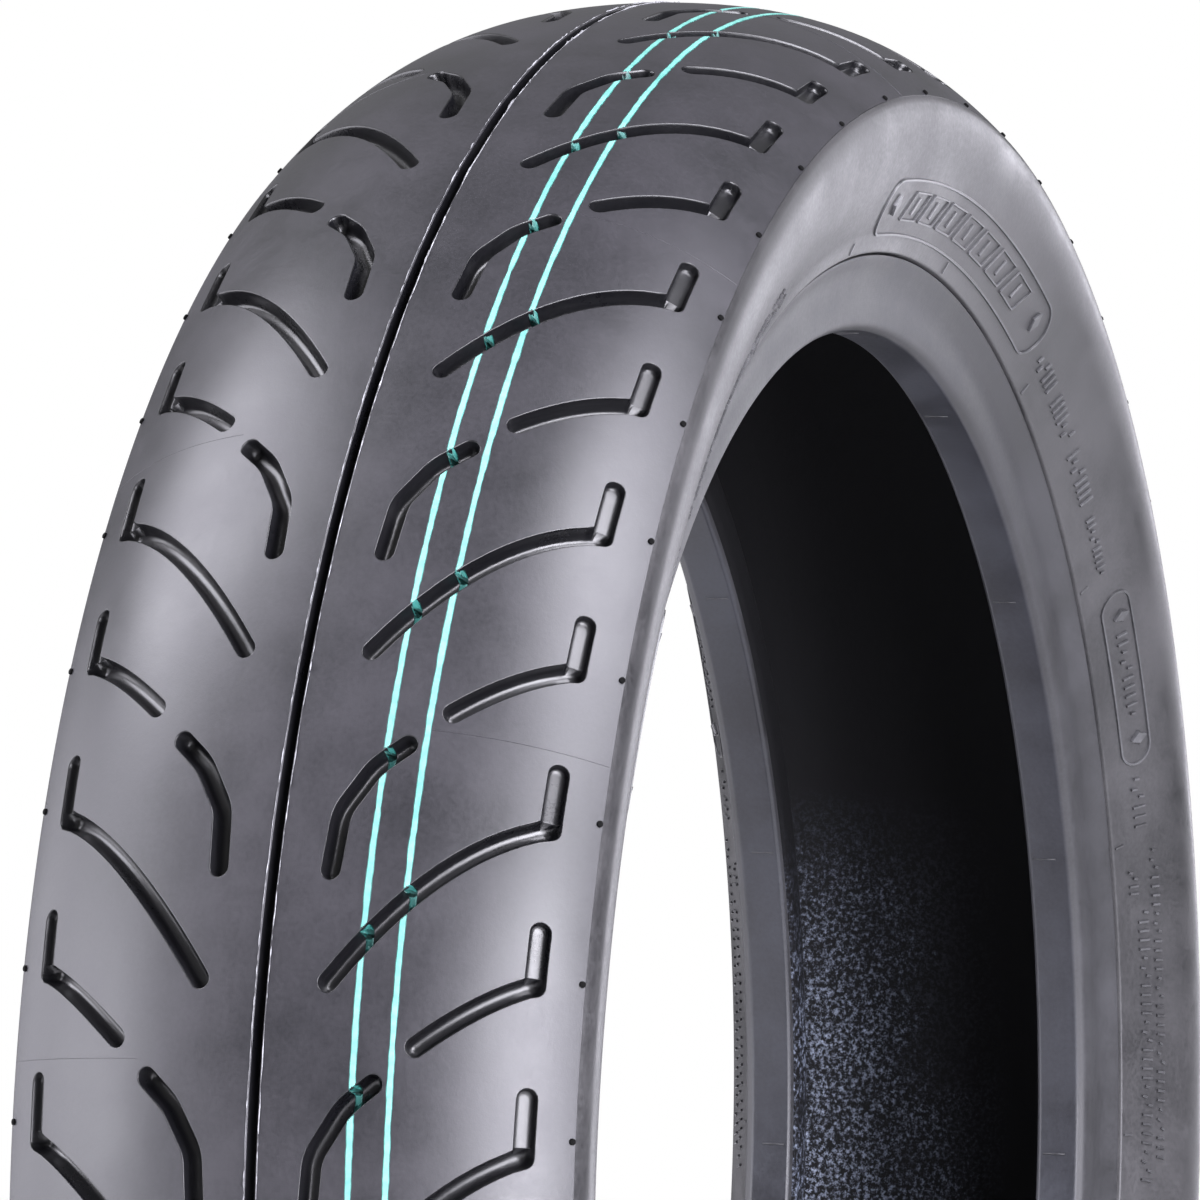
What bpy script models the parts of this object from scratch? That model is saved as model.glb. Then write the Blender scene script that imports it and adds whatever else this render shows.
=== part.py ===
"""Motorcycle tyre, bias-ply and tubeless: tread, breakers, carcass, beads and sidewalls.

Every piece is its own closed ring about the wheel's axis, which is the Y axis.
The origin is the centre of the wheel. Metres, +Z up.
Run with: blender --background --python part.py
"""
import bpy
import math

# Driving dimensions of the tyre
TYRE_RADIUS = 0.302
CROWN_SQUARE = 0.869          # the crown falls by R * (square * u^2 + fourth * u^4), u = y / R
CROWN_FOURTH = 13.7
BEAD_SEAT_RADIUS = 0.2176
HALF_WIDTH = 0.0699
SEGMENTS = 24                 # facets round every ring, so that nested rings stay parallel

# Layers, as thicknesses and the gap that touching pieces keep
GAP = 0.0003
PLY = 0.0008
WRAP = 0.0005
CHAFER = 0.0007
LINER = 0.0009
BASE = 0.0010

# The casing line, from the crown's centre to the bead, round the bead core and up its outer side.
# Points are (across, radius) on the +Y side. Positive offsets point away from the bead core.
CASING = [
    (0.0000, 0.2910), (0.0380, 0.2853), (0.0540, 0.2758), (0.0630, 0.2630), (0.0572, 0.2465),
    (0.0386, 0.2295), (0.0386, 0.2219), (0.0453, 0.2219), (0.0453, 0.2300), (0.0540, 0.2412)]
TOE, TURN_UP, PLY_END = 6, 8, 9               # places on the casing line

# Outer shape on the +Y side, from the tread's edge to the bead seat
CREASE = (0.0688, 0.2784)
SIDEWALL = [
    (0.0690, 0.2780), (HALF_WIDTH, 0.2735), (HALF_WIDTH, 0.2690), (0.0680, 0.2615),
    (0.0639, 0.2520), (0.0574, 0.2407), (0.0553, 0.2371)]
FLANK = [
    (0.0548, 0.2365), (0.0526, 0.2323), (0.0512, 0.2290), (0.0512, 0.2225), (0.0502, 0.2193),
    (0.0482, BEAD_SEAT_RADIUS), (0.0370, BEAD_SEAT_RADIUS)]

# Tread pattern: 24 equal pitches, the same on both halves of the tread
PITCHES = 24
PATTERN_PHASE = 2.92          # degrees from the pitch's start to the long groove's corner
CENTRE_GROOVE_WIDTH = 0.0026
CENTRE_GROOVE_DEPTH = 0.0042
GROOVE_WIDTH = 0.0042
ARM_DEPTH = 0.0050
HOOK_DEPTH = 0.0026
CUTTER_CLEARANCE = 0.0030
# Stations of a groove: across in metres, round the tyre in degrees, depth in metres
LONG_GROOVE = [
    (0.0154, -7.5, ARM_DEPTH), (0.0325, -3.1, ARM_DEPTH), (0.0590, 0.3, ARM_DEPTH),
    (0.0590, 3.0, HOOK_DEPTH)]
SHORT_GROOVE = [(0.0362, -10.1, ARM_DEPTH), (0.0590, -7.0, ARM_DEPTH), (0.0590, -4.4, HOOK_DEPTH)]
DOGLEG_GROOVE = [(0.0268, 3.1, ARM_DEPTH), (0.0142, -0.1, ARM_DEPTH), (0.0136, -2.6, ARM_DEPTH)]

# Marking stripes: thin coloured ink rings on the -Y half of the tread
STRIPE_WIDTH = 0.0019
STRIPE_THICKNESS = 0.0003
STRIPES = {"marking_stripe_inner": -0.0226, "marking_stripe_outer": -0.0312}

# Bead core: a wound bundle of steel wire
CORE_INNER = 0.0397
CORE_OUTER = 0.0442
CORE_BOTTOM = 0.2230
CORE_TOP = 0.2282
CORE_CHAMFER = 0.0009

RUBBER_BLACK = (0.035, 0.035, 0.038)
INK_TEAL = (0.19, 0.86, 0.68)
FABRIC_GREY = (0.25, 0.24, 0.22)
STEEL = (0.55, 0.50, 0.42)

# Offsets of the layers from the casing line, towards the tread
BREAKER_INNER = (-GAP, -GAP - PLY)
BREAKER_OUTER = (BREAKER_INNER[1] - GAP, BREAKER_INNER[1] - GAP - PLY)
UNDERTREAD = (BREAKER_OUTER[1] - GAP, BREAKER_OUTER[1] - GAP - BASE)
TREAD_UNDERSIDE = UNDERTREAD[1] - GAP
TREAD_END = 2.30
# and towards the inside of the tyre
SECOND_PLY = (PLY + GAP, 2 * PLY + GAP)
THIRD_LAYER = 2 * (PLY + GAP)
CUSHION_FACE = THIRD_LAYER + CHAFER + GAP

# Where the layers end: places on the casing line, counted in its corners from the crown
BASE_END = 2.27
OUTER_BREAKER_END = 2.10
INNER_BREAKER_END = 2.22
INNER_PLY_END = TURN_UP + 0.45
LINER_END = TOE - 0.02
SIDEWALL_TOP = 2.36
SIDEWALL_BOTTOM = 4.20
PLY_COVER = 0.32              # how much of the ply's turned-up end the sidewall covers
FILLER_TOP = 4.30
WRAP_ENDS = (TOE - 0.83, TURN_UP - 0.22)
CHAFER_ENDS = (TOE + 0.05, TURN_UP + 0.20)
CUSHION_ENDS = (TOE + 0.10, TURN_UP + 0.30)
END_CLEARANCE = 0.01          # in the same places, between pieces that meet end to end
TREAD_CLEARANCE = 0.0001

# Points across the crown's section on each half
CROWN_POINTS = (0.020, 0.036, 0.049, 0.060)
MERGE_DISTANCE = 0.00005

for old in list(bpy.data.objects):
    bpy.data.objects.remove(old, do_unlink=True)

tyre = bpy.data.collections.new("motorcycle_tyre")
cutters = bpy.data.collections.new("cutters")
bpy.context.scene.collection.children.link(tyre)
bpy.context.scene.collection.children.link(cutters)


def crown_radius(across):
    """Radius of the tread's outer surface at a distance from the tyre's centre plane."""
    u = across / TYRE_RADIUS
    return TYRE_RADIUS * (1 - CROWN_SQUARE * u ** 2 - CROWN_FOURTH * u ** 4)


def material(name, colour, roughness, metallic=0.0):
    made = bpy.data.materials.new(name)
    made.use_nodes = True
    shader = made.node_tree.nodes["Principled BSDF"]
    shader.inputs["Base Color"].default_value = (*colour, 1.0)
    shader.inputs["Roughness"].default_value = roughness
    shader.inputs["Metallic"].default_value = metallic
    return made


def direction(start, end):
    length = math.dist(start, end)
    return ((end[0] - start[0]) / length, (end[1] - start[1]) / length)


def offset_line(line, distance):
    """A line parallel to an open one, on its right-hand side, with mitred corners."""
    moved = []
    for i, point in enumerate(line):
        before = direction(line[max(i - 1, 0)], line[max(i, 1)])
        after = direction(line[min(i, len(line) - 2)], line[min(i + 1, len(line) - 1)])
        normal = (before[1] + after[1], -before[0] - after[0])
        scale = distance / (1 + before[0] * after[0] + before[1] * after[1])
        moved.append((point[0] + normal[0] * scale, point[1] + normal[1] * scale))
    return moved


def cut_line(line, start, stop):
    """The part of a line between two places, each a point's number with a fraction."""
    def place(number):
        low = min(int(number), len(line) - 2)
        share = number - low
        return tuple(a + (b - a) * share for a, b in zip(line[low], line[low + 1]))
    between = [line[i] for i in range(len(line)) if start < i < stop]
    return [place(start)] + between + [place(stop)]


def mirrored(line):
    return [(-across, radius) for across, radius in line]


def across_both(line):
    """A line that starts on the centre plane, carried over to both sides."""
    return mirrored(line)[:0:-1] + line


def casing_part(offset, start, stop):
    """A line parallel to the casing line on the +Y side, between two places on it."""
    both_sides = offset_line(across_both(CASING), offset)
    return cut_line(both_sides[len(CASING) - 1:], start, stop)


def casing_point(place, offset):
    return casing_part(offset, place, place + 0.01)[0]


def strip(near, far, start, stop, whole=False):
    """Section of a layer along the casing line, between two offsets and two places."""
    inner = casing_part(near, start, stop)
    outer = casing_part(far, start, stop)
    if whole:
        inner = across_both(inner)
        outer = across_both(outer)
    return inner + outer[::-1]


def ring(name, section, look):
    """A closed ring turned about the Y axis from its section, given as (across, radius)."""
    corners = [(radius, across) for across, radius in section]
    area = sum(a[0] * b[1] - b[0] * a[1] for a, b in zip(corners, corners[1:] + corners[:1]))
    if area > 0:
        corners.reverse()
    count = len(corners)
    mesh = bpy.data.meshes.new(name)
    mesh.from_pydata([(x, 0.0, z) for x, z in corners], [(i, (i + 1) % count) for i in range(count)], [])
    made = bpy.data.objects.new(name, mesh)
    made.rotation_euler = (-math.pi / 2, 0.0, 0.0)
    made.data.materials.append(look)
    tyre.objects.link(made)
    screw = made.modifiers.new("turn", "SCREW")
    screw.axis = "Z"
    screw.angle = 2 * math.pi
    screw.steps = SEGMENTS
    screw.render_steps = SEGMENTS
    screw.use_merge_vertices = True
    screw.merge_threshold = MERGE_DISTANCE
    screw.use_smooth_shade = False
    return made


def pair(name, section, look):
    """The same ring on the +Y side (left) and on the -Y side (right)."""
    ring(name + "_left", section, look)
    ring(name + "_right", mirrored(section), look)


def crown_point(across, degrees, height):
    """A point above the crown, measured along its normal; degrees run from -X over the top."""
    slope = (crown_radius(across + 1e-5) - crown_radius(across - 1e-5)) / 2e-5
    length = math.hypot(1.0, slope)
    angle = math.radians(degrees)
    outward = (-math.cos(angle), math.sin(angle))
    radius = crown_radius(across) + height / length
    return (outward[0] * radius, across - height * slope / length, outward[1] * radius)


def groove_cutter(stations, pitch, side):
    """Corners and faces of one groove's cutter, a bar that follows the crown."""
    flat = []
    for across, degrees, depth in stations:
        angle = degrees + PATTERN_PHASE + pitch * 360.0 / PITCHES
        flat.append((across, math.radians(angle) * crown_radius(across), depth, crown_radius(across)))
    line = [(a, b) for a, b, depth, radius in flat]
    first = direction(line[1], line[0])
    last = direction(line[-2], line[-1])
    reach = GROOVE_WIDTH / 2
    line[0] = (line[0][0] + first[0] * reach, line[0][1] + first[1] * reach)
    line[-1] = (line[-1][0] + last[0] * reach, line[-1][1] + last[1] * reach)
    edges = (offset_line(line, reach), offset_line(line, -reach))
    corners = []
    for i, (a, b, depth, radius) in enumerate(flat):
        for edge, height in ((0, CUTTER_CLEARANCE), (1, CUTTER_CLEARANCE), (1, -depth), (0, -depth)):
            across, arc = edges[edge][i]
            corners.append(crown_point(side * across, math.degrees(arc / radius), height))
    faces = [(0, 1, 2, 3)]
    for i in range(len(flat) - 1):
        for j in range(4):
            k = (j + 1) % 4
            faces.append((4 * i + j, 4 * i + 4 + j, 4 * i + 4 + k, 4 * i + k))
    end = 4 * len(flat) - 4
    faces.append((end + 3, end + 2, end + 1, end))
    if side > 0:
        faces = [face[::-1] for face in faces]
    return corners, faces


def pattern_cutter():
    """All the grooves of the tread pattern, as one object of separate bars."""
    corners = []
    faces = []
    for pitch in range(PITCHES):
        for side in (1, -1):
            for stations in (LONG_GROOVE, SHORT_GROOVE, DOGLEG_GROOVE):
                more_corners, more_faces = groove_cutter(stations, pitch, side)
                faces += [tuple(i + len(corners) for i in face) for face in more_faces]
                corners += more_corners
    mesh = bpy.data.meshes.new("groove_cutter")
    mesh.from_pydata(corners, [], faces)
    made = bpy.data.objects.new("groove_cutter", mesh)
    made.hide_render = True
    made.display_type = "WIRE"
    cutters.objects.link(made)
    return made


def tread_section():
    """The tread cap: crown with the centre groove, down to the layer below it."""
    half_groove = CENTRE_GROOVE_WIDTH / 2
    bottom = crown_radius(0.0) - CENTRE_GROOVE_DEPTH
    crown = [(half_groove, bottom), (half_groove, crown_radius(half_groove))]
    crown += [(across, crown_radius(across)) for across in CROWN_POINTS]
    crown.append(CREASE)
    under = casing_part(TREAD_UNDERSIDE, 0.0, TREAD_END)
    half = crown + under[::-1]
    return half[:-1] + mirrored(half)[-1::-1]


rubber_tread = material("tread_rubber", RUBBER_BLACK, 0.45)
rubber_side = material("sidewall_rubber", RUBBER_BLACK, 0.40)
rubber_inside = material("liner_rubber", (0.02, 0.02, 0.022), 0.30)
rubber_hard = material("hard_rubber", (0.05, 0.045, 0.04), 0.60)
cord = material("cord_fabric", FABRIC_GREY, 0.80)
wire = material("bead_wire", STEEL, 0.35, 1.0)
ink = material("stripe_ink", INK_TEAL, 0.55)

tread = ring("tread_cap", tread_section(), rubber_tread)
carve = tread.modifiers.new("grooves", "BOOLEAN")
carve.operation = "DIFFERENCE"
carve.solver = "EXACT"
carve.object = pattern_cutter()

ring("tread_base", strip(*UNDERTREAD, 0.0, BASE_END, whole=True), rubber_hard)
ring("breaker_ply_outer", strip(*BREAKER_OUTER, 0.0, OUTER_BREAKER_END, whole=True), cord)
ring("breaker_ply_inner", strip(*BREAKER_INNER, 0.0, INNER_BREAKER_END, whole=True), cord)
ring("carcass_ply_outer", strip(0.0, PLY, 0.0, PLY_END, whole=True), cord)
ring("carcass_ply_inner", strip(*SECOND_PLY, 0.0, INNER_PLY_END, whole=True), cord)
ring("inner_liner", strip(THIRD_LAYER, THIRD_LAYER + LINER, 0.0, LINER_END, whole=True), rubber_inside)

for name, across in STRIPES.items():
    edges = (across - STRIPE_WIDTH / 2, across + STRIPE_WIDTH / 2)
    low = [(edge, crown_radius(edge) + GAP) for edge in edges]
    high = [(edge, radius + STRIPE_THICKNESS) for edge, radius in low]
    ring(name, low + high[::-1], ink)

sidewall_inside = [
    casing_point(PLY_END - PLY_COVER, PLY + GAP), casing_point(PLY_END - END_CLEARANCE, PLY + GAP),
    casing_point(SIDEWALL_BOTTOM, -GAP), casing_point(4.0, -GAP), casing_point(3.0, -GAP),
    casing_point(SIDEWALL_TOP, -GAP), casing_point(SIDEWALL_TOP, TREAD_UNDERSIDE - TREAD_CLEARANCE)]
pair("sidewall", SIDEWALL + sidewall_inside, rubber_side)

pair("bead_core", [
    (CORE_INNER, CORE_BOTTOM), (CORE_OUTER, CORE_BOTTOM), (CORE_OUTER, CORE_TOP - CORE_CHAMFER),
    (CORE_OUTER - CORE_CHAMFER, CORE_TOP), (CORE_INNER + CORE_CHAMFER, CORE_TOP),
    (CORE_INNER, CORE_TOP - CORE_CHAMFER)], wire)
pair("bead_wrap", strip(-GAP, -GAP - WRAP, *WRAP_ENDS), cord)
filler_base = CORE_TOP + 2 * GAP
pair("bead_filler", [
    (CORE_INNER - GAP, filler_base), casing_point(5.0, -GAP), casing_point(FILLER_TOP, -GAP),
    casing_point(PLY_END - 2 * END_CLEARANCE, -GAP), casing_point(TURN_UP, -GAP),
    (CORE_OUTER + GAP, filler_base)], rubber_hard)
pair("chafer", strip(THIRD_LAYER, THIRD_LAYER + CHAFER, *CHAFER_ENDS), cord)
cushion_inside = casing_part(CUSHION_FACE, *CUSHION_ENDS)
pair("rim_cushion", FLANK + cushion_inside, rubber_side)
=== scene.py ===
"""Looks of the motorcycle tyre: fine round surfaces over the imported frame, materials, studio and camera."""
import math
import bmesh
import bpy
from mathutils import Matrix, Vector, noise
from mathutils.bvhtree import BVHTree
from mathutils.geometry import delaunay_2d_cdt


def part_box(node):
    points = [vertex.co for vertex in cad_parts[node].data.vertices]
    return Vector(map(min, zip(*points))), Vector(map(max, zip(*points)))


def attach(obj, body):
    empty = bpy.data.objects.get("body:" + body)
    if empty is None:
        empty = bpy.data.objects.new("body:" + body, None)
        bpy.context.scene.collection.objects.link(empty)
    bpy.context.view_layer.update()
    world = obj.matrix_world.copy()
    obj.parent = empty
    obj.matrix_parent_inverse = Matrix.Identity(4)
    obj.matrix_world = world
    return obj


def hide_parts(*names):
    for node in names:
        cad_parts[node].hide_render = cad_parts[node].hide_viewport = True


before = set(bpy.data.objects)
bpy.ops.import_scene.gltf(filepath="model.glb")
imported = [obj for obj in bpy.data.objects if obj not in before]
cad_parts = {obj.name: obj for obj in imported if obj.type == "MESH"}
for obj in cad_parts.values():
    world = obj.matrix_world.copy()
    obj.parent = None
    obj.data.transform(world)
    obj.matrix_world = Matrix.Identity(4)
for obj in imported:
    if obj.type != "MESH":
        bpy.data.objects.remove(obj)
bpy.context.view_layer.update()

MM = 0.001

# The tyre's driving dimensions: the radius from the frame, the others as in the part
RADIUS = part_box("tread_cap")[1].x
SEAT_RADIUS = 0.2176
CROWN_SQUARE = 0.869  # how fast the crown falls with the square of the distance across
CROWN_FOURTH = 13.7  # and with its fourth power
GAP = 0.3 * MM  # between neighbouring layers

# Facets round the tyre, on the pieces that show and on those inside
FINE_STEPS = 576
RING_STEPS = 288

# The casing line, as in the part: (across, radius) on the left side.
# Positive offsets point away from the bead core.
CASING = [
    (0.0000, 0.2910), (0.0380, 0.2853), (0.0540, 0.2758), (0.0630, 0.2630), (0.0572, 0.2465),
    (0.0386, 0.2295), (0.0386, 0.2219), (0.0453, 0.2219), (0.0453, 0.2300), (0.0540, 0.2412)]
CASING_ROUNDING = [18 * MM, 18 * MM, 9 * MM, 7 * MM, 7 * MM, 2 * MM, 1.4 * MM, 1.4 * MM, 2 * MM, 0.0]

# Places on the casing line: corner numbers, with shares of the way to the next corner
TREAD_END, UNDERTREAD_END, BREAKER_OUTER_END, BREAKER_INNER_END = 2.30, 2.27, 2.10, 2.22
SIDEWALL_TOP, SIDEWALL_FOOT = 2.36, 4.20
FILLER_TOP, FILLER_FOOT = 4.30, 5.0
TOE, TURN_UP, PLY_END = 6, 8, 9
WRAP_ENDS = (TOE - 0.83, TURN_UP - 0.22)
CHAFER_ENDS = (TOE + 0.05, TURN_UP + 0.20)
SECOND_PLY_END = TURN_UP + 0.45

# Thicknesses and offsets of the layers, as in the part; negative offsets are towards the tread
PLY = 0.8 * MM
WRAP = 0.5 * MM
CHAFER = 0.7 * MM
LINER = 0.9 * MM
BREAKER_INNER = (-GAP, -GAP - PLY)
BREAKER_OUTER = (BREAKER_INNER[1] - GAP, BREAKER_INNER[1] - GAP - PLY)
UNDERTREAD = (BREAKER_OUTER[1] - GAP, BREAKER_OUTER[1] - GAP - 1.0 * MM)
TREAD_UNDERSIDE = UNDERTREAD[1] - GAP
SECOND_PLY = (PLY + GAP, 2 * PLY + GAP)
THIRD_LAYER = 2 * (PLY + GAP)
CUSHION_FACE = THIRD_LAYER + CHAFER + GAP

# Tread pattern, one pitch: quadratic curves through (across in mm, degrees)
PITCHES = 24
PITCH_DEGREES = 360.0 / PITCHES
PATTERN_PHASE = 2.92
PITCH_TOP = 4.0
LONG_ARM = ((15.4, -7.5), (38.6, -1.25), (59.0, 0.30))
LONG_HOOK = (59.2, 2.95)
SHORT_ARM = ((36.0, -10.1), (49.4, -7.80), (59.2, -6.95))
SHORT_HOOK = (59.4, -4.50)
DOGLEG = ((27.2, 3.20), (20.8, 2.10), (14.4, 0.00), (13.5, -2.60))
DOGLEG_CUT = 2.6 * MM  # how far its corners are cut back
ARM_HALF = 2.3 * MM
HOOK_HALF = 2.5 * MM
ARM_DEPTH = 5.0 * MM
HOOK_DEPTH = 2.6 * MM
HOOK_STATIONS = (0.156, 0.168, 0.186, 0.45, 0.72, 1.0)  # the first one is as deep as the arm
# Cross-sections of the grooves, with a round and with a flat bottom: shares of the half width and the depth
ARM_SECTION = [
    (1.10, 0.0), (1.04, 0.007), (1.00, 0.035), (0.97, 0.12),
    (0.93, 0.42), (0.85, 0.64), (0.70, 0.81), (0.45, 0.94)]
HOOK_SECTION = [
    (1.08, 0.0), (1.03, 0.02), (0.99, 0.10), (0.96, 0.40),
    (0.92, 0.70), (0.85, 0.86), (0.70, 0.95), (0.40, 0.99)]
# The centre groove: (across, depth) in mm
CENTRE_SECTION = [
    (1.75, 0.0), (1.50, -0.07), (1.32, -0.05), (1.20, 0.25),
    (1.12, 1.5), (0.95, 3.3), (0.5, 4.1), (0.0, 4.25)]
CREASE_ACROSS = 68.3 * MM  # the tread's edge


# ---------------- plane geometry

def crown_radius(across):
    u = across / RADIUS
    return RADIUS * (1 - CROWN_SQUARE * u ** 2 - CROWN_FOURTH * u ** 4)


def crown_slope(across):
    u = across / RADIUS
    return -2 * CROWN_SQUARE * u - 4 * CROWN_FOURTH * u ** 3


def unit(start, end):
    length = math.dist(start, end)
    return ((end[0] - start[0]) / length, (end[1] - start[1]) / length)


def offset_line(line, distance):
    """A line parallel to an open one, on its right-hand side, with mitred corners."""
    moved = []
    last = len(line) - 1
    for i, point in enumerate(line):
        before = unit(line[max(i - 1, 0)], line[max(i, 1)])
        after = unit(line[min(i, last - 1)], line[min(i + 1, last)])
        scale = distance / (1 + before[0] * after[0] + before[1] * after[1])
        moved.append((point[0] + (before[1] + after[1]) * scale, point[1] - (before[0] + after[0]) * scale))
    return moved


def bend(start, corner, end, steps):
    """Points of a quadratic curve, its two ends included."""
    points = []
    for i in range(steps + 1):
        t = i / steps
        weights = ((1 - t) ** 2, 2 * t * (1 - t), t * t)
        points.append(tuple(
            sum(w * c for w, c in zip(weights, coordinates)) for coordinates in zip(start, corner, end)))
    return points


def rounded(line, cuts, steps=6):
    """An open line with each corner cut back by a length and rounded off."""
    points = [line[0]]
    for i in range(1, len(line) - 1):
        if cuts[i] <= 0:
            points.append(line[i])
            continue
        ends = []
        for other in (line[i - 1], line[i + 1]):
            share = min(cuts[i] / math.dist(line[i][:2], other[:2]), 0.48)
            ends.append(tuple(c + (o - c) * share for c, o in zip(line[i], other)))
        points += bend(ends[0], line[i], ends[1], steps)
    points.append(line[-1])
    return points


def mirrored(line):
    return [(-a, r) for a, r in line]


CASING_LINE = [(a, r, i) for i, (a, r) in enumerate(CASING)]
CASING_LINE = rounded(
    [(-a, r, -i) for a, r, i in CASING_LINE[:0:-1]] + CASING_LINE, CASING_ROUNDING[:0:-1] + CASING_ROUNDING)


def casing_part(offset, start, stop):
    """A line parallel to the casing line between two places on it; places on the far side are negative."""
    line = offset_line([p[:2] for p in CASING_LINE], offset)
    places = [p[2] for p in CASING_LINE]

    def at(place):
        i = max(k for k in range(len(places) - 1) if places[k] <= place)
        share = (place - places[i]) / (places[i + 1] - places[i])
        return tuple(a + (b - a) * share for a, b in zip(line[i], line[i + 1]))
    return [at(start)] + [p for p, place in zip(line, places) if start < place < stop] + [at(stop)]


def strip(near, far, start, stop):
    """Section of a layer along the casing line, between two offsets and two places."""
    return casing_part(near, start, stop) + casing_part(far, start, stop)[::-1]


# ---------------- round pieces

def spin_point(across, radius, degrees):
    """Degrees run from -X over the top to +X."""
    angle = math.radians(degrees)
    return (-radius * math.cos(angle), across, radius * math.sin(angle))


def new_piece(name, vertices, faces, look):
    mesh = bpy.data.meshes.new(name)
    mesh.from_pydata(vertices, [], faces)
    mesh.materials.append(look)
    mesh.shade_smooth()
    piece = bpy.data.objects.new(name, mesh)
    bpy.context.scene.collection.objects.link(piece)
    return piece


def turned(name, section, look, steps=RING_STEPS):
    """A closed ring with a closed section of (across, radius)."""
    area = sum(a[0] * b[1] - b[0] * a[1] for a, b in zip(section, section[1:] + section[:1]))
    if area < 0:
        section = section[::-1]
    count = len(section)
    vertices = []
    faces = []
    for i in range(steps):
        vertices += [spin_point(a, r, 360.0 * i / steps) for a, r in section]
        here = i * count
        there = (i + 1) % steps * count
        for j in range(count):
            k = (j + 1) % count
            faces.append((here + j, here + k, there + k, there + j))
    piece = new_piece(name, vertices, faces, look)
    piece.data.set_sharp_from_angle(angle=math.radians(35))
    return piece


# ---------------- the tread pattern

# The tread is laid out flat: (arc along the crown from the centre, arc round the tyre), both in metres
FLAT_RADIUS = 0.295
ARC_TABLE = [0.0]
ARC_STEP = 0.1 * MM
while len(ARC_TABLE) * ARC_STEP < CREASE_ACROSS + 4 * MM:
    middle = (len(ARC_TABLE) - 0.5) * ARC_STEP
    ARC_TABLE.append(ARC_TABLE[-1] + ARC_STEP * math.hypot(1.0, crown_slope(middle)))


def arc_of(across):
    place = across / ARC_STEP
    low = min(int(place), len(ARC_TABLE) - 2)
    return ARC_TABLE[low] + (ARC_TABLE[low + 1] - ARC_TABLE[low]) * (place - low)


def across_of(arc):
    low, high = 0, len(ARC_TABLE) - 1
    while high - low > 1:
        mid = (low + high) // 2
        if ARC_TABLE[mid] <= arc:
            low = mid
        else:
            high = mid
    return ARC_STEP * (low + (arc - ARC_TABLE[low]) / (ARC_TABLE[high] - ARC_TABLE[low]))


def flat(point):
    """From (across in mm, degrees) to the flat layout."""
    return (arc_of(point[0] * MM), math.radians(point[1]) * FLAT_RADIUS)


def crown_place(arc, round_arc, depth):
    """Point and outward normal of the left half's crown, at a depth below it."""
    across = across_of(arc)
    slope = crown_slope(across)
    length = math.hypot(1.0, slope)
    angle = round_arc / FLAT_RADIUS + math.radians(PATTERN_PHASE)
    radius = crown_radius(across) - depth / length
    out = Vector((-math.cos(angle), 0.0, math.sin(angle)))
    normal = (out - Vector((0.0, slope, 0.0))) / length
    return out * radius + Vector((0.0, across + depth * slope / length, 0.0)), normal


def groove_line(arm, hook, cut=None):
    """Centre line of a groove, its half widths, depths and sections along it, and where its corner is."""
    ends = [flat(p) for p in arm]
    line = rounded(ends, [cut] * len(ends), 6) if cut else bend(*ends, 14)
    half = [ARM_HALF] * len(line)
    depth = [ARM_DEPTH] * len(line)
    sections = [ARM_SECTION] * len(line)
    corner = None
    if hook:
        corner = len(line) - 1
        end = flat(hook)
        start = line[-1]
        for share in HOOK_STATIONS:
            hooked = share > HOOK_STATIONS[0]
            line.append(tuple(a + (b - a) * share for a, b in zip(start, end)))
            half.append(HOOK_HALF)
            depth.append(HOOK_DEPTH if hooked else ARM_DEPTH)
            sections.append(HOOK_SECTION if hooked else ARM_SECTION)
        half[corner] = HOOK_HALF
    return line, half, depth, sections, corner


def arc_point(centre, reach, angle):
    return (centre[0] + reach * math.cos(angle), centre[1] + reach * math.sin(angle))


def groove_outline(line, half, depth, sections, corner, level):
    """Closed outline round a groove's centre line at one level of its section: (point, depth) in turn."""
    last = len(line) - 1
    half = [reach * section[level][0] for reach, section in zip(half, sections)]
    depth = [deep * section[level][1] for deep, section in zip(depth, sections)]
    sides = {}
    for side in (1, -1):
        edge = []
        for i, point in enumerate(line):
            before = unit(line[max(i - 1, 0)], line[max(i, 1)])
            after = unit(line[min(i, last - 1)], line[min(i + 1, last)])
            reach = half[i] * side
            turn = before[0] * after[1] - before[1] * after[0]
            if i == corner and turn * side > 0:
                first = math.atan2(-before[0], before[1])
                swing = math.atan2(turn, before[0] * after[0] + before[1] * after[1])
                for k in range(6):
                    edge.append((arc_point(point, reach, first + swing * k / 5), depth[i]))
                continue
            scale = reach / (1 + before[0] * after[0] + before[1] * after[1])
            moved = (point[0] + (before[1] + after[1]) * scale, point[1] - (before[0] + after[0]) * scale)
            edge.append((moved, depth[i]))
        sides[side] = edge

    def cap(i, heading):
        first = math.atan2(-heading[0], heading[1])
        reach = half[i]
        arc = []
        for k in range(1, 8):
            arc.append((arc_point(line[i], reach, first + math.pi * k / 8), depth[i]))
        return arc
    start = unit(line[1], line[0])
    end = unit(line[-2], line[-1])
    return sides[1] + cap(last, end) + sides[-1][::-1] + cap(0, start)


def inside(point, outline):
    found = False
    x, y = point
    for (ax, ay), (bx, by) in zip(outline, outline[1:] + outline[:1]):
        if (ay > y) != (by > y) and x < ax + (y - ay) / (by - ay) * (bx - ax):
            found = not found
    return found


GROOVES = [
    groove_line(LONG_ARM, LONG_HOOK), groove_line(SHORT_ARM, SHORT_HOOK),
    groove_line(DOGLEG, None, DOGLEG_CUT)]


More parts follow.
